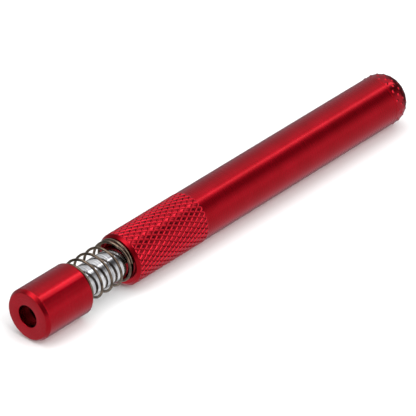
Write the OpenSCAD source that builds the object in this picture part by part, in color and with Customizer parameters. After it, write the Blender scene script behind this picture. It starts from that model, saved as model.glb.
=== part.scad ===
/* [Handle] */
// Overall length of the tool, from the nose face to the end of the tail
tool_len = 100; // [92:1:120]
// Diameter of the nose sleeve and of the handle's smooth barrel
body_d = 10; // [9.8:0.1:11]
// Gap between the nose face and the front face of the handle
handle_start = 23.35; // [22:0.05:27]
// Length of the knurled band behind the front chamfer
knurl_len = 18; // [12:1:22]
// How far the knurled band stands proud of the smooth barrel
knurl_raise = 0.05; // [0.02:0.01:0.1]
// Width of the chamfer on the front edge of the handle
handle_chamfer = 0.5; // [0.3:0.1:0.8]
// Diameter of the recess around the spindle in the front face
recess_d = 7.4; // [6.8:0.1:7.5]
// Depth of that recess
recess_depth = 2; // [0.6:0.1:3]
// Diameter of the hollow that stores spare bits
storage_d = 6.6; // [5.8:0.1:6.8]
// Thickness of the wall between the spindle's hole and the hollow
web = 2; // [1.5:0.1:4]

/* [Tail cap] */
// Visible length of the tail cap behind the parting line
cap_len = 5.2; // [4.6:0.1:6]
// Radius of the rounding on the tail end
cap_round = 3.6; // [3:0.1:4.2]
// Diameter of the screw thread on the cap
cap_thread_d = 8; // [7.6:0.1:8]
// Length of the cap's threaded plug
plug_len = 5.3; // [4.8:0.1:7]
// Thickness of the O-ring's cord
seal_cord_d = 0.8; // [0.7:0.05:0.8]

/* [Nose sleeve] */
// Length of the sliding nose sleeve
sleeve_len = 11.5; // [11.4:0.1:12]
// Diameter of the hole that the drill bit goes through
nose_hole_d = 4.3; // [3.6:0.1:5]
// Thickness of the sleeve's front wall
front_wall = 0.8; // [0.6:0.1:1]
// Axial length of the chamfer on the front edge
nose_chamfer_len = 0.7; // [0.3:0.1:1]
// Radial depth of that chamfer
nose_chamfer_depth = 0.45; // [0.2:0.05:0.7]
// Distance that the sleeve pulls back
sleeve_travel = 2.4; // [1.8:0.1:2.4]
// Thickness of the guide bush's flange, let into the sleeve's rear end
flange = 0.3; // [0.2:0.05:0.5]

/* [Collet] */
// Bore of the collet's jaws when the sleeve is forward
collet_bore_d = 2.3; // [1.6:0.1:2.4]
// Distance from the nose face to the front of the jaws
jaw_start = 4; // [3.8:0.1:4.2]
// Diameter of the flared head on the jaws
head_d = 5.8; // [5.6:0.1:5.8]
// Length of the cone behind the head's front edge
cone_len = 2.6; // [2.5:0.1:2.6]
// Half angle of that cone, in degrees
cone_angle = 15; // [14:0.5:16]
// Diameter of the jaws' slender necks
neck_d = 3.9; // [3.8:0.1:3.9]
// Width of the slits between the jaws
slit = 0.35; // [0.2:0.05:0.5]
// Distance from the nose face to the roots of the jaws
jaw_root = 12; // [11.8:0.1:12.4]

/* [Spindle and spring] */
// Diameter of the polished spindle
spindle_d = 6; // [6:0.05:6.2]
// Diameter of the spring's wire
wire_d = 0.5; // [0.4:0.05:0.55]
// Mean diameter of the spring's coil
coil_d = 7.9; // [7.8:0.05:8]
// Number of open turns in the spring
open_turns = 4; // [3:0.1:6]
// Closed turns at the handle end of the spring
closed_turns = 1.05; // [1:0.05:2.5]
// How far the loose coil sits to one side of the spindle
coil_offset = 0.4; // [0:0.05:0.4]

/* [Hidden] */
$fn = 96;

// Fits, all radial unless named otherwise
press_gap = 0.01;
running_gap = 0.03;
loose_gap = 0.05;
face_gap = 0.02;

body_r = body_d / 2;
spindle_r = spindle_d / 2;

// Collet and closing ring
land = 0.4;
head_r = head_d / 2;
neck_r = neck_d / 2;
bore_r = collet_bore_d / 2;
relief_r = bore_r + 0.2;
grip_len = 3.5;
bore_lead_in = 0.2;
ring_start = jaw_start + land;
cone_drop = tan(cone_angle);
ring_len = cone_len - 0.2;
ring_end = ring_start + ring_len;
cone_gap = 0.04;
collet_thread_len = 5;
collet_end = jaw_root + collet_thread_len;
root_gap = 0.05;

// Sleeve and guide bush
seat_r = head_r + 0.8;
throat_r = head_r + 0.5;
rear_break = 0.15;
flange_r = seat_r + 0.65;
flange_start = sleeve_len - flange;

// Spindle
spindle_start = ring_end + sleeve_travel + loose_gap;
pocket_r = neck_r + 0.35;
pocket_end = jaw_root + 0.2;
spindle_thread_len = 9.5;
thread_start = handle_start + recess_depth;
spindle_end = thread_start + spindle_thread_len;
shank_room = 5;
spindle_break = 0.2;

// Handle
knurl_start = handle_start + handle_chamfer + 0.1;
knurl_end = knurl_start + knurl_len;
storage_start = spindle_end + web;
barrel_end = tool_len - cap_len;
cap_bore_r = cap_thread_d / 2;
plug_r = cap_bore_r - loose_gap;
plug_start = barrel_end - plug_len;
cap_bore_start = plug_start - 0.2;

// O-ring
cord_r = seal_cord_d / 2;
groove_len = seal_cord_d + 0.2;
groove_end = barrel_end - 0.3;
seal_at = groove_end - groove_len / 2;
groove_r = plug_r - seal_cord_d - loose_gap;
seal_r = groove_r + cord_r + face_gap;

// Spring
wire_r = wire_d / 2;
coil_r = coil_d / 2;
coil_gap = 0.05;
closed_pitch = wire_d + coil_gap;
coil_start = sleeve_len + face_gap;
coil_length = handle_start - face_gap - coil_start - wire_d;
first_turns = 1.2;
first_angle = 77;
offset_angle = 45;
open_pitch = (coil_length - (first_turns + closed_turns) * closed_pitch) / open_turns;
total_turns = first_turns + open_turns + closed_turns;
steps_per_turn = 20;
wire_sides = 6;

// Turns a solid that stands along +Z so that it lies along +X, and moves it to x
module along(x) {
    translate([x, 0, 0]) rotate([0, 90, 0]) children();
}

// A plain cylinder on the tool's axis between two stations
module bar(start, end, r) {
    along(start) cylinder(h = end - start, r = r);
}

// A cone on the tool's axis between two stations
module taper(start, end, r_start, r_end) {
    along(start) cylinder(h = end - start, r1 = r_start, r2 = r_end);
}

// Red sleeve that is pulled back to open the collet
module nose_sleeve() {
    cut = 1;
    color("crimson") difference() {
        union() {
            taper(0, nose_chamfer_len, body_r - nose_chamfer_depth, body_r);
            bar(nose_chamfer_len, sleeve_len - rear_break, body_r);
            taper(sleeve_len - rear_break, sleeve_len, body_r, body_r - rear_break);
        }
        bar(-cut, front_wall + cut, nose_hole_d / 2);
        bar(front_wall, ring_start + cut, throat_r);
        bar(ring_start, sleeve_len + cut, seat_r);
        bar(flange_start - face_gap, sleeve_len + cut, flange_r + loose_gap);
    }
}

// Hardened ring with the cone that squeezes the jaws
module closing_ring() {
    wide = head_r + cone_gap;
    narrow = wide - ring_len * cone_drop;
    color("dimgray") difference() {
        bar(ring_start, ring_end, seat_r - press_gap);
        taper(ring_start, ring_end, wide, narrow);
    }
}

// Flanged bush that runs on the spindle and carries the sleeve
module guide_bush() {
    cut = 1;
    start = ring_end + face_gap;
    color("darkgoldenrod") difference() {
        union() {
            bar(start, sleeve_len, seat_r - loose_gap);
            bar(flange_start, sleeve_len, flange_r);
        }
        bar(start - cut, sleeve_len + cut, spindle_r + running_gap);
    }
}

// Height of the wire's centre along the spring after a number of turns
function coil_rise(turn) =
    turn < first_turns ? turn * closed_pitch
    : turn < first_turns + open_turns
        ? first_turns * closed_pitch + (turn - first_turns) * open_pitch
        : coil_length - (total_turns - turn) * closed_pitch;

// Direction from the coil's axis to the wire, on a right-hand helix
function coil_outward(turn) =
    let (angle = first_angle + 360 * turn)
    [0, cos(angle), sin(angle)];

// One point on the wire's surface: side runs round the wire, turn along it
function wire_point(turn, side) =
    let (
        angle = 360 * side / wire_sides,
        along_x = coil_start + wire_r + coil_rise(turn) + wire_r * sin(angle),
        shift = [0, cos(offset_angle), sin(offset_angle)] * coil_offset
    )
    [along_x, 0, 0] + shift + (coil_r + wire_r * cos(angle)) * coil_outward(turn);

// Compression spring between the guide bush and the handle
module chuck_spring() {
    rings = round(total_turns * steps_per_turn);
    points = [
        for (i = [0 : rings], side = [0 : wire_sides - 1])
            wire_point(total_turns * i / rings, side)
    ];
    walls = [
        for (i = [0 : rings - 1], side = [0 : wire_sides - 1])
            let (
                here = i * wire_sides,
                next = here + wire_sides,
                beside = (side + 1) % wire_sides
            )
            [here + side, here + beside, next + beside, next + side]
    ];
    first_cap = [for (side = [wire_sides - 1 : -1 : 0]) side];
    last_cap = [for (side = [0 : wire_sides - 1]) rings * wire_sides + side];
    color("gray") polyhedron(points, concat([first_cap], walls, [last_cap]));
}

// Polished steel spindle, bored for the collet and screwed into the handle
module spindle() {
    cut = 1;
    color("silver") difference() {
        union() {
            taper(spindle_start, spindle_start + spindle_break,
                spindle_r - spindle_break, spindle_r);
            bar(spindle_start + spindle_break, thread_start, spindle_r);
            bar(thread_start, spindle_end, spindle_r - loose_gap);
        }
        bar(spindle_start - cut, pocket_end, pocket_r);
        bar(pocket_end - cut, collet_end, neck_r + loose_gap);
        bar(collet_end - cut, collet_end + shank_room, relief_r);
    }
}

// Threaded stem that the jaws spring from
module collet_body() {
    cut = 1;
    color("lightsteelblue") difference() {
        bar(jaw_root, collet_end, neck_r);
        bar(jaw_root - cut, collet_end + cut, relief_r);
    }
}

// Whole ring of jaws before the slits are cut
module jaw_ring() {
    cut = 1;
    grip_end = jaw_start + grip_len;
    cone_end = ring_start + cone_len;
    difference() {
        union() {
            bar(jaw_start, ring_start, head_r);
            taper(ring_start, cone_end, head_r, head_r - cone_len * cone_drop);
            bar(cone_end, jaw_root - root_gap, neck_r);
        }
        bar(jaw_start - cut, jaw_root + cut, bore_r);
        bar(grip_end, jaw_root + cut, relief_r);
        taper(jaw_start, jaw_start + bore_lead_in, bore_r + bore_lead_in, bore_r);
    }
}

// One jaw, the quarter of the ring that faces the angle
module collet_jaw(angle) {
    reach = 2 * head_r;
    color("lightsteelblue") rotate([angle - 45, 0, 0]) intersection() {
        jaw_ring();
        translate([0, slit / 2, slit / 2]) cube([2 * jaw_root, reach, reach]);
    }
}

// Hollow red handle
module handle_barrel() {
    cut = 1;
    color("crimson") difference() {
        union() {
            taper(handle_start, handle_start + handle_chamfer,
                body_r - handle_chamfer, body_r);
            bar(handle_start + handle_chamfer, barrel_end, body_r);
            bar(knurl_start, knurl_end, body_r + knurl_raise);
        }
        bar(handle_start - cut, thread_start, recess_d / 2);
        bar(thread_start - cut, spindle_end, spindle_r);
        bar(storage_start, barrel_end, storage_d / 2);
        bar(cap_bore_start, barrel_end + cut, cap_bore_r);
    }
}

// Outline of the tail cap's rounded end, right of its axis
module tail_outline() {
    straight = cap_len - cap_round;
    square([body_r, straight]);
    square([body_r - cap_round, cap_len]);
    intersection() {
        translate([body_r - cap_round, straight]) circle(r = cap_round);
        square([body_r, cap_len]);
    }
}

// Knurled cap that screws into the tail and closes the hollow
module tail_cap() {
    color("crimson") union() {
        along(barrel_end) rotate_extrude() tail_outline();
        bar(plug_start, groove_end - groove_len, plug_r);
        bar(groove_end - groove_len, groove_end, groove_r);
        bar(groove_end, barrel_end, plug_r);
    }
}

// O-ring that keeps the tail cap from shaking loose
module tail_o_ring() {
    color("black") along(seal_at) rotate_extrude() translate([seal_r, 0]) circle(r = cord_r);
}

nose_sleeve();
closing_ring();
guide_bush();
chuck_spring();
spindle();
collet_body();
collet_jaw(45);  // collet_jaw_1
collet_jaw(135);  // collet_jaw_2
collet_jaw(225);  // collet_jaw_3
collet_jaw(315);  // collet_jaw_4
handle_barrel();
tail_cap();
tail_o_ring();
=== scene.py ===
"""Pin vise drill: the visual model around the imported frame.

Lengths are in millimetres, and stations run along the tool's axis from the nose face. Materials, light
panels, the floor and the camera are in metres. Angles about the axis start from +Y and go up.
"""

import math

import bpy
import numpy as np
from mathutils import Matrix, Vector


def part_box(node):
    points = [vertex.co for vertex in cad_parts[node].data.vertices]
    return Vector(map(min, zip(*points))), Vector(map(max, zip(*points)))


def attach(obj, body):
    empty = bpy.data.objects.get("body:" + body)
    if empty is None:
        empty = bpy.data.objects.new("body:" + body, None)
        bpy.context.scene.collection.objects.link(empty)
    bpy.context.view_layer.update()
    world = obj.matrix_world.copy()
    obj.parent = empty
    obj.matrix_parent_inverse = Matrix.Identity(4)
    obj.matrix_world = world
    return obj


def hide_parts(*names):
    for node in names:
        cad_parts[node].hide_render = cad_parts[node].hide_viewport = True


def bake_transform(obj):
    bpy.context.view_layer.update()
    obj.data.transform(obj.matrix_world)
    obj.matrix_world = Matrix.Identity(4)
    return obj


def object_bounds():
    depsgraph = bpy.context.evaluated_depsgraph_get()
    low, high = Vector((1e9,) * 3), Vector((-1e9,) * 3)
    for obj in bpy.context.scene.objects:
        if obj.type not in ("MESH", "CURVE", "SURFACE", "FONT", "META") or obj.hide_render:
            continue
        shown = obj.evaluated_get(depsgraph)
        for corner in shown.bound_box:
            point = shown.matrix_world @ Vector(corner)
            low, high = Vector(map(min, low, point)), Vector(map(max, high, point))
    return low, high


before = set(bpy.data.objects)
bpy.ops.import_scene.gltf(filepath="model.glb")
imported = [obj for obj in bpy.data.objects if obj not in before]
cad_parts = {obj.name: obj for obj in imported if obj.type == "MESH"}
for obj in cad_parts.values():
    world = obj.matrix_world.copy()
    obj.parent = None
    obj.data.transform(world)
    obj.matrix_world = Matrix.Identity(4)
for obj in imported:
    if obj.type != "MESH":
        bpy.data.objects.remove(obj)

MM = 0.001
TAU = 2 * math.pi
CAD_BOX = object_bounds()

# Stations and radii that the frame gives
SLEEVE_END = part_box("nose_sleeve")[1].x / MM
BODY_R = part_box("nose_sleeve")[1].y / MM
HANDLE_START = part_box("handle_barrel")[0].x / MM
BARREL_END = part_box("handle_barrel")[1].x / MM
KNURL_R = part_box("handle_barrel")[1].y / MM
PLUG_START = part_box("tail_cap")[0].x / MM
TAIL_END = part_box("tail_cap")[1].x / MM
SPINDLE_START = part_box("spindle")[0].x / MM
SPINDLE_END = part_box("spindle")[1].x / MM
SPINDLE_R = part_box("spindle")[1].y / MM
RING_START, RING_END = (c.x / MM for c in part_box("closing_ring"))
RING_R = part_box("closing_ring")[1].y / MM
BUSH_START, BUSH_END = (c.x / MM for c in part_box("guide_bush"))
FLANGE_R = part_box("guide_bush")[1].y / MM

# Knurling: two crossing sets of thirty V grooves, which leave flat-topped diamonds in cells 2 mm long.
# A cell is fourteen mesh steps each way, and each side of a groove takes three of them.
STARTS = 30
DIAMOND = 2.0
CELL_STEPS = 14
GROOVE_STEPS = 3
STEP = DIAMOND / CELL_STEPS
AROUND = STARTS * CELL_STEPS
KNURL_START = HANDLE_START + 0.55
KNURL_CELLS = 9
KNURL_ROWS = KNURL_CELLS * CELL_STEPS
KNURL_END = KNURL_START + KNURL_CELLS * DIAMOND

# Station of the first row of grip pips on the tail cap
FIRST_PIPS = BARREL_END + 0.8


# ---------------------------------------------------------------- profiles


def rounded(points, break_r=0.03, steps=3):
    """A (station, radius) outline with its corners rounded. A point may carry its own corner radius."""
    out = []
    for i, point in enumerate(points):
        x, r = point[:2]
        size = point[2] if len(point) > 2 else break_r
        ends = i in (0, len(points) - 1)
        if ends or size <= 0:
            out.append((x, r))
            continue
        here = np.array((x, r))
        before = np.array(points[i - 1][:2]) - here
        after = np.array(points[i + 1][:2]) - here
        a, b = np.linalg.norm(before), np.linalg.norm(after)
        before, after = before / a, after / b
        half = math.acos(max(-1.0, min(1.0, float(before @ after)))) / 2
        reach = min(size / math.tan(half), 0.45 * a, 0.45 * b)
        start, end = here + before * reach, here + after * reach
        for k in range(steps + 1):
            t = k / steps
            p = (1 - t) ** 2 * start + 2 * t * (1 - t) * here + t * t * end
            out.append((float(p[0]), float(p[1])))
    return out


def ring_outline(points, **how):
    """A closed outline, for a piece with a hole right through it."""
    first, second = points[0], points[1]
    middle = ((first[0] + second[0]) / 2, (first[1] + second[1]) / 2)
    return rounded([middle, *points[1:], first, middle], **how)[:-1]


def thread_rows(start, end, pitch, rows_per_turn=10):
    """Stations for a screw thread, close enough together to show its flanks."""
    count = max(2, round((end - start) / pitch * rows_per_turn))
    return list(np.linspace(start, end, count + 1))


# ---------------------------------------------------------------- surfaces


def groove(turns):
    """Depth of one set of V grooves, from 0 on the crests to 1 at the bottom."""
    away = np.abs(turns - np.round(turns)) * CELL_STEPS
    return np.clip(1 - away / GROOVE_STEPS, 0, 1)


def knurl(along, angle):
    """Depth of the two crossing sets of grooves."""
    turns = STARTS * angle / TAU
    return np.maximum(groove(turns + along / DIAMOND), groove(turns - along / DIAMOND))


def screw(along, angle, pitch):
    """Height of a screw thread with a flat crest and root, from 0 to 1."""
    turn = along / pitch - angle / TAU
    away = np.abs(turn - np.round(turn)) * 2
    root_share, flank_share = 0.15, 0.6
    return np.clip((away - root_share) / flank_share, 0, 1)


def make_mesh(name, points, faces, sharp=30):
    """An object from points in millimetres, creased where two faces meet at more than the angle."""
    mesh = bpy.data.meshes.new(name)
    mesh.from_pydata((np.asarray(points) * MM).tolist(), [], faces)
    mesh.validate()
    mesh.shade_smooth()
    mesh.set_sharp_from_angle(angle=math.radians(sharp))
    obj = bpy.data.objects.new(name, mesh)
    bpy.context.scene.collection.objects.link(obj)
    return obj


def revolve(name, outline, around=192, closed=False, shape=None, split=None, sharp=30):
    """Turns an outline of (station, radius) about the tool's axis. A point with no radius is a pole.

    shape(row, angles, r) gives a row's radii where it isn't round. split(row) gives None, or a test of
    which way each face after the row is cut in two, so that the cuts can follow creases.
    """
    angles = np.arange(around) * TAU / around
    points, rows = [], []
    for i, (x, r) in enumerate(outline):
        if r <= 1e-9:
            rows.append([len(points)] * around)
            points.append((x, 0, 0))
            continue
        radii = np.full(around, float(r)) if shape is None else shape(i, angles, float(r))
        rows.append(list(range(len(points), len(points) + around)))
        points += zip(np.full(around, float(x)), radii * np.cos(angles), radii * np.sin(angles))
    faces = []
    pairs = list(zip(range(len(rows) - 1), range(1, len(rows))))
    if closed:
        pairs.append((len(rows) - 1, 0))
    for i, k in pairs:
        a, b = rows[i], rows[k]
        creases = split(i) if split else None
        for j in range(around):
            n = (j + 1) % around
            quad = [a[j], a[n], b[n], b[j]]
            if len(set(quad)) == 3:
                faces.append(list(dict.fromkeys(quad)))
            elif creases is None:
                faces.append(quad)
            elif creases(j):
                faces += [[a[j], a[n], b[j]], [a[n], b[n], b[j]]]
            else:
                faces += [[a[j], a[n], b[n]], [a[j], b[n], b[j]]]
    area = sum((b[0] - a[0]) * (a[1] + b[1]) for a, b in zip(outline, outline[1:] + outline[:1]))
    if area > 0:  # the outline runs the other way round, so the faces would point inwards
        faces = [f[::-1] for f in faces]
    return make_mesh(name, points, faces, sharp)


def soften(obj):
    """Keeps flat faces flat where small roundings join them."""
    even = obj.modifiers.new("even_normals", "WEIGHTED_NORMAL")
    even.keep_sharp = True
    even.weight = 80
    return obj


def place(obj, body, material, slot, *nodes):
    """The piece rides on a body, stands for CAD nodes and takes a material."""
    obj.data.materials.clear()
    obj.data.materials.append(material)
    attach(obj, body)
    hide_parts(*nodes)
    return obj


# ---------------------------------------------------------------- materials


class Surface:
    """A Principled material with the node links that every metal here shares."""

    def __init__(self, name, **sockets):
        self.material = bpy.data.materials.new(name)
        self.material.use_nodes = True
        self.tree = self.material.node_tree
        self.shader = self.tree.nodes["Principled BSDF"]
        for socket, value in sockets.items():
            self.shader.inputs[socket.replace("_", " ")].default_value = value

    def node(self, kind, settings=None, **inputs):
        made = self.tree.nodes.new(kind)
        for key, value in (settings or {}).items():
            setattr(made, key, value)
        for socket, value in inputs.items():
            target = made.inputs[socket.replace("_", " ")]
            if isinstance(value, bpy.types.NodeSocket):
                self.tree.links.new(value, target)
            else:
                target.default_value = value
        return made

    def maths(self, operation, a, b=0.0):
        made = self.tree.nodes.new("ShaderNodeMath")
        made.operation = operation
        for socket, value in zip(made.inputs, (a, b)):
            if isinstance(value, bpy.types.NodeSocket):
                self.tree.links.new(value, socket)
            else:
                socket.default_value = value
        return made.outputs[0]

    def place(self):
        """Position on the piece, in metres, in the row frame."""
        return self.node("ShaderNodeTexCoord").outputs["Object"]

    def turned(self, across, around):
        """Coordinates in which a lathe's marks run round the axis, on sides and end faces."""
        parts = self.node("ShaderNodeSeparateXYZ", Vector=self.place())
        y, z = parts.outputs["Y"], parts.outputs["Z"]
        squares = self.maths("ADD", self.maths("MULTIPLY", y, y), self.maths("MULTIPLY", z, z))
        out = self.maths("SQRT", squares)
        cut = self.maths("MULTIPLY", self.maths("ADD", parts.outputs["X"], out), across)
        return self.node(
            "ShaderNodeCombineXYZ",
            X=cut,
            Y=self.maths("MULTIPLY", y, around),
            Z=self.maths("MULTIPLY", z, around),
        ).outputs[0]

    def noise(self, vector, scale=1.0, detail=2.0, rough=0.5):
        made = self.node(
            "ShaderNodeTexNoise", Vector=vector, Scale=scale, Detail=detail, Roughness=rough
        )
        return made.outputs["Fac"]

    def spread(self, value, low, high):
        """The middle of a noise stretched to run from low to high."""
        made = self.node(
            "ShaderNodeMapRange", Value=value, From_Min=0.3, From_Max=0.7, To_Min=low, To_Max=high
        )
        return made.outputs["Result"]

    def link(self, value, socket):
        self.tree.links.new(value, self.shader.inputs[socket])

    def mixed(self, share, first, second):
        """One tone going over to another, each a colour or a node's output."""
        made = self.node("ShaderNodeMix", {"data_type": "RGBA"})
        self.tree.links.new(share, made.inputs["Factor"])
        for socket, colour in ((made.inputs[6], first), (made.inputs[7], second)):
            if isinstance(colour, bpy.types.NodeSocket):
                self.tree.links.new(colour, socket)
            else:
                socket.default_value = (*colour, 1)
        return made.outputs[2]

    def tones(self, share, dark, light):
        self.link(self.mixed(share, dark, light), "Base Color")

    def inside(self, stretches):
        """1 between the stations of any of the stretches, given in millimetres, and 0 elsewhere."""
        along = self.node("ShaderNodeSeparateXYZ", Vector=self.place()).outputs["X"]
        total = 0.0
        for start, end in stretches:
            near = self.node("ShaderNodeMath", {"operation": "COMPARE"})
            self.tree.links.new(along, near.inputs[0])
            near.inputs[1].default_value = (start + end) / 2 * MM
            near.inputs[2].default_value = (end - start) / 2 * MM
            total = self.maths("ADD", near.outputs[0], total)
        return total

    def bump(self, height, distance, strength=1.0):
        made = self.node("ShaderNodeBump", Height=height, Distance=distance, Strength=strength)
        self.link(made.outputs["Normal"], "Normal")


STREAK_TONE = 3000
# Share of the painted pinker sheen tone, standing in for the coat's reflection, over the rolled stretches
ROLLED_SHEEN_SHARE = 0.8
ROLLED_POLISH = 0.45


def turned_metal(name, dark, light, rough, marks, grain=0.0, cut=16000, rolled_and_sheen=None, **sockets):
    """Machined metal: uneven tone, fine marks round the axis, and a grain where it is given.

    rough is the range of roughness, marks the marks' height in metres, grain the grain's height against
    theirs, and cut how close the marks are: closer marks tint the tone less. The pair of a tone and
    stretches, after cut, gives those stretches a painted pinker sheen: a base tone that stands in for the
    whitish coat reflection in their highlights. They are also smoother because rolling tools pressed
    them.
    """
    s = Surface(name, Metallic=1.0, **sockets)
    blotches = s.noise(s.place(), 260, 3)
    fine = s.noise(s.turned(cut, 260), 1.0, 3, 0.6)
    streaks = s.maths("MULTIPLY", s.maths("SUBTRACT", fine, 0.5), STREAK_TONE / cut)
    tone = s.mixed(s.spread(s.maths("ADD", blotches, streaks), 0, 1), dark, light)
    gloss = s.spread(fine, *rough)
    if rolled_and_sheen:
        colour, stretches = rolled_and_sheen
        inside = s.inside(stretches)
        # Painted sheen: a pinker base tone in place of the coat's whitish reflection in the highlights
        tone = s.mixed(s.maths("MULTIPLY", inside, ROLLED_SHEEN_SHARE), tone, colour)
        polish = s.maths("MULTIPLY", inside, ROLLED_POLISH)
        gloss = s.maths("MULTIPLY", gloss, s.maths("SUBTRACT", 1.0, polish))
    s.link(tone, "Base Color")
    s.link(gloss, "Roughness")
    height = fine
    if grain:
        specks = s.noise(s.place(), 9000, 2, 0.6)
        height = s.maths("ADD", fine, s.maths("MULTIPLY", specks, grain))
    s.bump(height, marks)
    return s.material


# The third tone is a painted pinker sheen for the knurl and the pips, standing in for the coat's whitish
# reflection in their highlights
RED_DARK, RED_LIGHT, RED_ROLLED_SHEEN = (0.27, 0.0003, 0.005), (0.32, 0.0008, 0.008), (0.30, 0.005, 0.013)
RED_EDGE = (0.92, 0.78, 0.84, 1)

red_sleeve = turned_metal(
    "anodised_red_smooth", RED_DARK, RED_LIGHT, (0.22, 0.28), 0.8e-6, 0.2,
    Coat_Weight=0.15, Coat_Roughness=0.06, Coat_IOR=1.5, Specular_Tint=RED_EDGE,
)
red_handle = turned_metal(
    "anodised_red_satin", RED_DARK, RED_LIGHT, (0.24, 0.30), 1.2e-6, 0.4,
    rolled_and_sheen=(RED_ROLLED_SHEEN, [(KNURL_START, KNURL_END), (FIRST_PIPS - 0.3, TAIL_END + 1)]),
    Coat_Weight=0.12, Coat_Roughness=0.14, Coat_IOR=1.5, Specular_Tint=RED_EDGE,
)
chrome = turned_metal(
    "polished_steel", (0.30, 0.30, 0.32), (0.88, 0.88, 0.90), (0.06, 0.16), 1.0e-5, cut=5000
)
hardened = turned_metal("hardened_steel", (0.20, 0.20, 0.21), (0.30, 0.30, 0.31), (0.25, 0.35), 1e-6)
brass = turned_metal("bush_brass", (0.60, 0.47, 0.24), (0.74, 0.60, 0.34), (0.2, 0.3), 1e-6)
collet_steel = turned_metal("collet_steel", (0.42, 0.42, 0.43), (0.52, 0.52, 0.53), (0.2, 0.3), 1e-6)


def wire_material():
    """Oil-tempered spring wire: warm brown-grey, drawn smooth, a little patchy."""
    s = Surface("spring_wire", Metallic=1.0)
    patches = s.noise(s.place(), 900, 4, 0.6)
    s.tones(s.spread(patches, 0, 1), (0.035, 0.026, 0.021), (0.20, 0.148, 0.108))
    s.link(s.spread(s.noise(s.place(), 5000, 2), 0.1, 0.2), "Roughness")
    s.bump(s.noise(s.place(), 12000, 2), 1e-6)
    return s.material


def rubber_material():
    """Matt black moulded rubber."""
    s = Surface("moulded_rubber")
    s.tones(s.noise(s.place(), 1500, 3), (0.012, 0.012, 0.013), (0.03, 0.03, 0.031))
    s.link(s.spread(s.noise(s.place(), 3000, 2), 0.5, 0.65), "Roughness")
    s.bump(s.noise(s.place(), 8000, 2), 4e-6)
    return s.material


spring_wire = wire_material()
rubber = rubber_material()


# ---------------------------------------------------------------- nose sleeve, ring and bush

NOSE_HOLE_R = 2.15
FRONT_WALL = 0.8
THROAT_R = 3.4
NOSE_CHAMFER_LENGTH, NOSE_CHAMFER_DEPTH = 0.7, 0.45
SEAT_R = RING_R + 0.01
COUNTERBORE_R = FLANGE_R + 0.05
COUNTERBORE_START = SLEEVE_END - 0.32

sleeve = revolve(
    "nose_sleeve_turned",
    ring_outline(
        [
            (FRONT_WALL, NOSE_HOLE_R, 0.05),
            (0, NOSE_HOLE_R, 0.10),
            (0, BODY_R - NOSE_CHAMFER_DEPTH, 0.10),
            (NOSE_CHAMFER_LENGTH, BODY_R, 0.12),
            (SLEEVE_END, BODY_R, 0.14),
            (SLEEVE_END, COUNTERBORE_R, 0.05),
            (COUNTERBORE_START, COUNTERBORE_R),
            (COUNTERBORE_START, SEAT_R),
            (RING_START, SEAT_R),
            (RING_START, THROAT_R),
            (FRONT_WALL, THROAT_R),
        ],
        steps=4,
    ),
    closed=True,
)
place(soften(sleeve), "sleeve", red_sleeve, "anodised_red_sleeve", "nose_sleeve")

CONE_SLOPE = math.tan(math.radians(15))
CONE_WIDE = 2.94
ring = revolve(
    "closing_ring_ground",
    ring_outline(
        [
            (RING_END, CONE_WIDE - (RING_END - RING_START) * CONE_SLOPE),
            (RING_START, CONE_WIDE, 0.06),
            (RING_START, RING_R),
            (RING_END, RING_R),
        ]
    ),
    closed=True,
)
place(soften(ring), "sleeve", hardened, "hardened_steel", "closing_ring")

BUSH_BORE_R = 3.03
BUSH_R = SEAT_R - 0.05
FLANGE_START = BUSH_END - 0.3
bush = revolve(
    "guide_bush_turned",
    ring_outline(
        [
            (BUSH_END, BUSH_BORE_R, 0.05),
            (BUSH_START, BUSH_BORE_R, 0.05),
            (BUSH_START, BUSH_R, 0.08),
            (FLANGE_START, BUSH_R),
            (FLANGE_START, FLANGE_R, 0.03),
            (BUSH_END, FLANGE_R, 0.06),
        ]
    ),
    closed=True,
)
place(soften(bush), "guide_bush", brass, "bush_metal", "guide_bush")


# ---------------------------------------------------------------- spindle

RECESS_R = 3.7
RECESS_DEPTH = 2.0
THREAD_START = HANDLE_START + RECESS_DEPTH
POCKET_R, POCKET_END = 2.3, 12.2
COLLET_THREAD_R, COLLET_END = 2.0, 17.0
SHANK_R, SHANK_END = 1.35, 22.0
SPINDLE_PITCH = 0.5
SPINDLE_THREAD_DEPTH = 0.22

spindle_front = rounded(
    [
        (SHANK_END, 0),
        (SHANK_END, SHANK_R, 0.05),
        (COLLET_END, SHANK_R),
        (COLLET_END, COLLET_THREAD_R),
        (POCKET_END, COLLET_THREAD_R),
        (POCKET_END, POCKET_R),
        (SPINDLE_START, POCKET_R, 0.08),
        (SPINDLE_START, SPINDLE_R, 0.2),
        (THREAD_START - 0.05, SPINDLE_R, 0),
    ]
)
spindle_thread = [
    (x, SPINDLE_R - 0.05)
    for x in thread_rows(THREAD_START + 0.1, SPINDLE_END - 0.3, SPINDLE_PITCH)
]
spindle_outline = spindle_front + spindle_thread + [(SPINDLE_END, SPINDLE_R - 0.4), (SPINDLE_END, 0)]
SPINDLE_ROWS = range(len(spindle_front), len(spindle_front) + len(spindle_thread))


def spindle_shape(row, angles, r):
    if row not in SPINDLE_ROWS:
        return np.full(len(angles), r)
    x = spindle_outline[row][0]
    return r - SPINDLE_THREAD_DEPTH * (1 - screw(x, angles, SPINDLE_PITCH))


spindle = revolve("spindle_polished", spindle_outline, around=128, shape=spindle_shape)
place(soften(spindle), "handle", chrome, "polished_steel", "spindle")


# ---------------------------------------------------------------- handle

KNURL_DEPTH = 0.17
KNURL_RUN_IN, KNURL_RUN_OUT = 0.2, 0.3
HANDLE_CHAMFER = 0.5
STORAGE_R = 3.3
STORAGE_START = 36.05
CAP_BORE_R = 4.0
CAP_BORE_START = PLUG_START - 0.2
CAP_PITCH = 0.75
CAP_THREAD_DEPTH = 0.3

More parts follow.
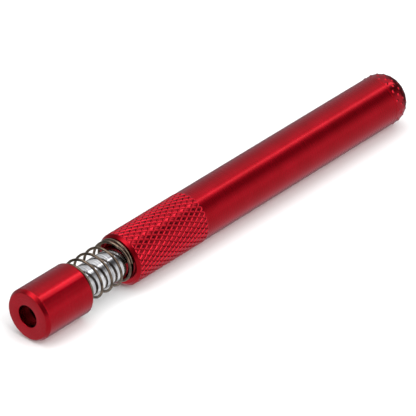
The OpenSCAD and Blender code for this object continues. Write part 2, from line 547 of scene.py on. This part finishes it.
knurl_rows = [(KNURL_START + i * STEP, KNURL_R) for i in range(KNURL_ROWS + 1)]
bore_rows = [(x, CAP_BORE_R) for x in thread_rows(CAP_BORE_START + 0.2, BARREL_END - 0.3, CAP_PITCH)]
handle_parts = [
    rounded(
        [
            (STORAGE_START, 0),
            (STORAGE_START, STORAGE_R, 0.2),
            (CAP_BORE_START, STORAGE_R, 0.05),
            (CAP_BORE_START, CAP_BORE_R),
            (CAP_BORE_START + 0.1, CAP_BORE_R, 0),
        ]
    ),
    bore_rows,
    rounded(
        [
            (BARREL_END - 0.2, CAP_BORE_R, 0),
            (BARREL_END, CAP_BORE_R + 0.1, 0.03),
            (BARREL_END, BODY_R, 0.025),
            (KNURL_END + 0.15, BODY_R, 0),
        ]
    ),
    knurl_rows[::-1],
    rounded(
        [
            (KNURL_START - 0.06, BODY_R, 0),
            (HANDLE_START + HANDLE_CHAMFER, BODY_R, 0.06),
            (HANDLE_START, BODY_R - HANDLE_CHAMFER, 0.06),
            (HANDLE_START, RECESS_R, 0.05),
            (THREAD_START, RECESS_R),
            (THREAD_START, SPINDLE_R),
            (SPINDLE_END, SPINDLE_R),
            (SPINDLE_END, 0),
        ],
        steps=4,
    ),
]
handle_outline = [p for part in handle_parts for p in part]
BORE_ROWS = range(len(handle_parts[0]), len(handle_parts[0]) + len(bore_rows))
HANDLE_KNURL = range(sum(map(len, handle_parts[:3])), sum(map(len, handle_parts[:4])))


def crease_test(along_steps):
    """Which way the faces between two knurled rows are split, so that creases follow the grooves."""
    edges = (0, GROOVE_STEPS, CELL_STEPS - GROOVE_STEPS)
    return lambda j: (j + along_steps + 1) % CELL_STEPS in edges


def handle_shape(row, angles, r):
    x = handle_outline[row][0]
    if row in BORE_ROWS:
        return r + CAP_THREAD_DEPTH * (1 - screw(x, angles, CAP_PITCH))
    if row not in HANDLE_KNURL:
        return np.full(len(angles), r)
    fade = min(1.0, (x - KNURL_START) / KNURL_RUN_IN, (KNURL_END - x) / KNURL_RUN_OUT)
    return BODY_R + fade * (KNURL_R - BODY_R - KNURL_DEPTH * knurl(x - KNURL_START, angles))


def handle_split(row):
    if row not in HANDLE_KNURL or row + 1 not in HANDLE_KNURL:
        return None
    x = handle_outline[row + 1][0]
    return crease_test(round((x - KNURL_START) / STEP))


handle = revolve(
    "handle_knurled", handle_outline, around=AROUND, shape=handle_shape, split=handle_split, sharp=15
)
place(soften(handle), "handle", red_handle, "anodised_red_handle", "handle_barrel")


# ---------------------------------------------------------------- tail cap

DOME = 3.6
DOME_START = TAIL_END - DOME
DOME_R = BODY_R - DOME
GROOVE_START, GROOVE_END, GROOVE_R = BARREL_END - 1.3, BARREL_END - 0.3, 3.1
PLUG_R = CAP_BORE_R - 0.05

# Grip pips raised on the rounded end, sixteen to a row and each row half a space on from the last.
# PIP_ROWS holds each row's share of the full height.
PIPS_AROUND = 16
PIP_PHASE = math.radians(134)
PIP_R = 0.3
PIP_HEIGHT = 0.12
PIP_ROW_GAP = 0.85
PIP_ROWS = [0.9, 1, 1, 0.9, 0.7]
CAP_FINE_START = FIRST_PIPS - PIP_R - 0.1
CAP_STEP = 0.08
CAP_AROUND = PIPS_AROUND * 24


def dome_point(along):
    """The cap's outside at a distance measured over its surface from the first row of pips."""
    straight = DOME_START - FIRST_PIPS
    if along <= straight:
        return FIRST_PIPS + along, BODY_R, 0.0
    angle = (along - straight) / DOME
    return DOME_START + DOME * math.sin(angle), DOME_R + DOME * math.cos(angle), angle


DOME_LENGTH = DOME_START - FIRST_PIPS + DOME * math.pi / 2
cap_rows = list(np.arange(CAP_FINE_START - FIRST_PIPS, DOME_LENGTH, CAP_STEP))
plug_rows = [(x, PLUG_R) for x in thread_rows(PLUG_START + 0.3, GROOVE_START - 0.2, CAP_PITCH)]
cap_parts = [
    [(PLUG_START, 0), (PLUG_START, PLUG_R - 0.45)],
    plug_rows,
    rounded(
        [
            (GROOVE_START - 0.1, PLUG_R, 0),
            (GROOVE_START, PLUG_R),
            (GROOVE_START, GROOVE_R),
            (GROOVE_END, GROOVE_R),
            (GROOVE_END, PLUG_R),
            (BARREL_END, PLUG_R),
            (BARREL_END, BODY_R, 0.025),
            (CAP_FINE_START - 0.1, BODY_R, 0),
        ]
    ),
    [dome_point(along)[:2] for along in cap_rows],
    [(TAIL_END, DOME_R), (TAIL_END, DOME_R * 0.5), (TAIL_END, 0)],
]
cap_outline = [p for part in cap_parts for p in part]
PLUG_ROWS = range(len(cap_parts[0]), len(cap_parts[0]) + len(plug_rows))
FINE_ROWS = range(sum(map(len, cap_parts[:3])), sum(map(len, cap_parts[:4])))


def pip_height(along, angles, r):
    """Height of the round pips above the cap's surface, round the axis at one distance along it."""
    rise = np.zeros(len(angles))
    for row, share in enumerate(PIP_ROWS):
        behind = along - row * PIP_ROW_GAP
        turns = (angles - PIP_PHASE) * PIPS_AROUND / TAU + row / 2
        beside = (turns - np.round(turns)) * TAU / PIPS_AROUND * r
        away = (behind**2 + beside**2) / PIP_R**2
        rise = np.maximum(rise, share * PIP_HEIGHT * np.clip(1 - away, 0, 1))
    return rise


def cap_shape(row, angles, r):
    if row in PLUG_ROWS:
        x = cap_outline[row][0]
        return r - CAP_THREAD_DEPTH * (1 - screw(x, angles, CAP_PITCH))
    if row not in FINE_ROWS:
        return np.full(len(angles), r)
    along = cap_rows[row - FINE_ROWS[0]]
    return r + pip_height(along, angles, r) * math.cos(dome_point(along)[2])


cap = revolve("tail_cap_pipped", cap_outline, around=CAP_AROUND, shape=cap_shape, sharp=60)
place(soften(cap), "tail_cap", red_handle, "anodised_red_cap", "tail_cap")


# ---------------------------------------------------------------- spring

WIRE_R = 0.25
COIL_R = 3.95
CLOSED_PITCH = 0.55
FIRST_TURNS, OPEN_TURNS, LAST_TURNS = 1.2, 4.0, 1.05
FIRST_ANGLE = math.radians(77)
SAG, SAG_ANGLE = 0.4, math.radians(45)
SMOOTHING = 10  # steps either side over which the closed turns open out
END_BREAK, END_BREAK_SHARE = 0.03, 0.85
SPRING_START, SPRING_END = BUSH_END + 0.02, HANDLE_START - 0.02


def spring_mesh(steps_per_turn=72, sides=16):
    """Round wire swept along a right-hand helix that sags to one side, with its ends cut square."""
    total = FIRST_TURNS + OPEN_TURNS + LAST_TURNS
    rings = round(total * steps_per_turn)
    turn = np.linspace(0, total, rings + 1)
    room = SPRING_END - SPRING_START - 2 * WIRE_R
    opened = room - (FIRST_TURNS + LAST_TURNS) * CLOSED_PITCH
    stations = [0, FIRST_TURNS, FIRST_TURNS + OPEN_TURNS, total]
    heights = [0, FIRST_TURNS * CLOSED_PITCH, FIRST_TURNS * CLOSED_PITCH + opened, room]
    x = np.interp(turn, stations, heights)
    ease = np.hanning(2 * SMOOTHING + 1)
    before = 2 * x[0] - x[1 : SMOOTHING + 1][::-1]
    after = 2 * x[-1] - x[-SMOOTHING - 1 : -1][::-1]
    padded = np.concatenate([before, x, after])
    x = np.convolve(padded, ease / ease.sum(), "valid") + SPRING_START + WIRE_R
    angle = FIRST_ANGLE + TAU * turn
    out = np.stack([np.zeros_like(angle), np.cos(angle), np.sin(angle)], 1)
    sag = SAG * np.array([0, math.cos(SAG_ANGLE), math.sin(SAG_ANGLE)])
    line = sag + COIL_R * out
    line[:, 0] += x
    ahead = np.gradient(line, axis=0)
    ahead /= np.linalg.norm(ahead, axis=1)[:, None]
    beside = np.cross(ahead, out)
    round_wire = [(math.cos(TAU * k / sides), math.sin(TAU * k / sides)) for k in range(sides)]
    points, faces = [], []
    for i in range(rings + 1):
        points += [line[i] + WIRE_R * (c * out[i] + s * beside[i]) for c, s in round_wire]
    for i in range(rings):
        for k in range(sides):
            n = (k + 1) % sides
            a, b = i * sides, (i + 1) * sides
            faces.append([a + k, a + n, b + n, b + k])
    for i, order in ((0, -1), (rings, 1)):
        tip = line[i] + ahead[i] * order * END_BREAK
        size = END_BREAK_SHARE * WIRE_R
        first = len(points)
        points += [tip + size * (c * out[i] + s * beside[i]) for c, s in round_wire]
        for k in range(sides):
            n = (k + 1) % sides
            rim = [i * sides + k, i * sides + n, first + n, first + k]
            faces.append(rim[::-1] if order < 0 else rim)
        end_face = list(range(first, first + sides))
        faces.append(end_face[::-1] if order < 0 else end_face)
    return make_mesh("chuck_spring_wound", points, faces, sharp=40)


spring = spring_mesh()
spring.data.materials.append(spring_wire)
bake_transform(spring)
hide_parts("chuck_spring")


# ---------------------------------------------------------------- carried-over CAD nodes

for node, material in {
    "collet_body": collet_steel,
    "collet_jaw_1": collet_steel,
    "collet_jaw_2": collet_steel,
    "collet_jaw_3": collet_steel,
    "collet_jaw_4": collet_steel,
    "tail_o_ring": rubber,
}.items():
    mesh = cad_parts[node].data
    mesh.materials.clear()
    mesh.materials.append(material)


# ---------------------------------------------------------------- floor, light and camera


def floor_material():
    s = Surface("studio_paper", Roughness=0.9, Specular_IOR_Level=0.1)
    s.tones(s.noise(s.place(), 30, 2), (0.73, 0.73, 0.73), (0.75, 0.75, 0.75))
    return s.material


FLOOR_REACH = 3.0
FLOOR_Z = CAD_BOX[0].z - 0.00002
corners = [(-1, -1), (1, -1), (1, 1), (-1, 1)]
floor = make_mesh(
    "studio_floor",
    [(x * FLOOR_REACH / MM, y * FLOOR_REACH / MM, FLOOR_Z / MM) for x, y in corners],
    [[0, 1, 2, 3]],
)
floor.data.materials.append(floor_material())
floor.visible_glossy = False

# Brightness of the studio by the angle about the tool's axis, in degrees, as seen towards the nose's
# end, straight out from the tool, and towards the tail's end
NOSE_END_LIGHT = [
    (-180, 1.05),
    (-35, 1.05),
    (-10, 0.45),
    (30, 0.28),
    (44, 0.5),
    (56, 1.8),
    (66, 3.3),
    (82, 3.3),
    (92, 1.5),
    (106, 0.7),
    (122, 0.3),
    (152, 0.25),
    (166, 0.4),
    (180, 1.0),
]
MIDDLE_LIGHT = [
    (-180, 1.5),
    (-90, 0.8),
    (0, 0.5),
    (50, 1.4),
    (70, 2.8),
    (110, 3.0),
    (165, 3.0),
    (180, 1.8),
]
TAIL_END_LIGHT = [
    (-180, 1.05),
    (-100, 1.05),
    (-75, 0.35),
    (-15, 0.35),
    (0, 0.6),
    (40, 0.8),
    (60, 1.05),
    (72, 1.35),
    (82, 1.15),
    (90, 1.5),
    (92.5, 4.6),
    (96.5, 4.6),
    (98.5, 2.0),
    (104, 1.1),
    (108, 0.5),
    (114, 0.22),
    (124, 0.16),
    (136, 0.24),
    (146, 0.55),
    (156, 0.82),
    (166, 1.1),
    (180, 1.2),
]
PAST_TAIL_LEVEL = 0.15

# The share of a direction that points to the tail, between which one table goes over to the next
NOSE_END_TO_MIDDLE = (-0.25, -0.05)
MIDDLE_TO_TAIL_END = (0.35, 0.5)
TAIL_END_TO_PAST = (0.78, 0.92)


class World:
    """The studio as the tool reflects it: strip light, pale walls and dark gaps, parallel to the tool."""

    def __init__(self):
        world = bpy.data.worlds.new("studio")
        bpy.context.scene.world = world
        world.use_nodes = True
        self.nodes, self.links = world.node_tree.nodes, world.node_tree.links
        self.split = self.nodes.new("ShaderNodeSeparateXYZ")
        self.links.new(self.nodes.new("ShaderNodeTexCoord").outputs["Generated"], self.split.inputs[0])
        angle = self.nodes.new("ShaderNodeMath")
        angle.operation = "ARCTAN2"
        self.links.new(self.split.outputs["Z"], angle.inputs[0])
        self.links.new(self.split.outputs["Y"], angle.inputs[1])
        self.share = self.ranged(angle.outputs[0], -math.pi, math.pi)
        level = self.bands(NOSE_END_LIGHT)
        level = self.mixed(level, self.bands(MIDDLE_LIGHT), *NOSE_END_TO_MIDDLE)
        level = self.mixed(level, self.bands(TAIL_END_LIGHT), *MIDDLE_TO_TAIL_END)
        level = self.mixed(level, PAST_TAIL_LEVEL, *TAIL_END_TO_PAST)
        backdrop = self.nodes["Background"]
        backdrop.inputs["Color"].default_value = (1, 1, 1, 1)
        self.links.new(level, backdrop.inputs["Strength"])

    def ranged(self, value, low, high):
        made = self.nodes.new("ShaderNodeMapRange")
        made.inputs["From Min"].default_value, made.inputs["From Max"].default_value = low, high
        self.links.new(value, made.inputs["Value"])
        return made.outputs["Result"]

    def mixed(self, level, further, low, high):
        """One level going over to another as directions turn towards the tail."""
        made = self.nodes.new("ShaderNodeMix")
        self.links.new(self.ranged(self.split.outputs["X"], low, high), made.inputs["Factor"])
        self.links.new(level, made.inputs[2])
        if isinstance(further, float):
            made.inputs[3].default_value = further
        else:
            self.links.new(further, made.inputs[3])
        return made.outputs[0]

    def bands(self, levels):
        """Brightness read off a curve of (degrees, level)."""
        made = self.nodes.new("ShaderNodeFloatCurve")
        curve = made.mapping.curves[0]
        top = max(level for _, level in levels)
        spots = [(degrees / 360 + 0.5, level / top) for degrees, level in levels]
        curve.points[0].location, curve.points[1].location = spots[0], spots[-1]
        for spot in spots[1:-1]:
            curve.points.new(*spot)
        for point in curve.points:
            point.handle_type = "VECTOR"
        made.mapping.update()
        self.links.new(self.share, made.inputs["Value"])
        level = self.nodes.new("ShaderNodeMath")
        level.operation = "MULTIPLY"
        level.inputs[1].default_value = top
        self.links.new(made.outputs[0], level.inputs[0])
        return level.outputs[0]


World()


def add_panel(name, centre, toward, size, level, mirrored=True):
    """A soft light panel of even brightness, which polished metal may mirror or not."""
    light = bpy.data.lights.new(name, "AREA")
    light.shape = "RECTANGLE"
    light.size, light.size_y = size
    light.energy = level * math.pi * size[0] * size[1]
    panel = bpy.data.objects.new(name, light)
    panel.location = centre
    panel.rotation_euler = (Vector(toward) - Vector(centre)).to_track_quat("-Z", "Y").to_euler()
    panel.visible_camera = False
    panel.visible_glossy = mirrored
    bpy.context.scene.collection.objects.link(panel)


def beside(station, angle, away):
    """A place at a station, an angle in degrees about the axis, and a distance out from the axis."""
    a = math.radians(angle)
    return Vector((station, away * math.cos(a), away * math.sin(a))) * MM


on_axis = beside(HANDLE_START, 0, 0)
add_panel("nose_light", beside(HANDLE_START, 108.6, 24.8), on_axis, (0.018, 0.007), 1.45)
add_panel("nose_fill", beside(HANDLE_START, 135, 24.2), on_axis, (0.018, 0.010), 0.3)
add_panel("floor_fill", (0.05, -0.45, 0.35), (0.05, 0, 0), (0.5, 0.5), 2.25, mirrored=False)

VIEW_AZIMUTH, VIEW_ELEVATION = -48.247, 33.18
VIEW_DISTANCE, VIEW_LENS = 0.76796, 366.5
VIEW_TARGET = Vector((0.04703, -0.00023, -0.00024))

bpy.context.scene.view_settings.view_transform = "Standard"
camera = bpy.data.objects.new("camera", bpy.data.cameras.new("camera"))
bpy.context.scene.collection.objects.link(camera)
a, e = math.radians(VIEW_AZIMUTH), math.radians(VIEW_ELEVATION)
toward = Vector((math.sin(a) * math.cos(e), -math.cos(a) * math.cos(e), math.sin(e)))
camera.location = VIEW_TARGET + toward * VIEW_DISTANCE
camera.rotation_euler = (-toward).to_track_quat("-Z", "Y").to_euler()
camera.data.lens = VIEW_LENS
camera.data.clip_start, camera.data.clip_end = 0.05, 20
bpy.context.scene.camera = camera
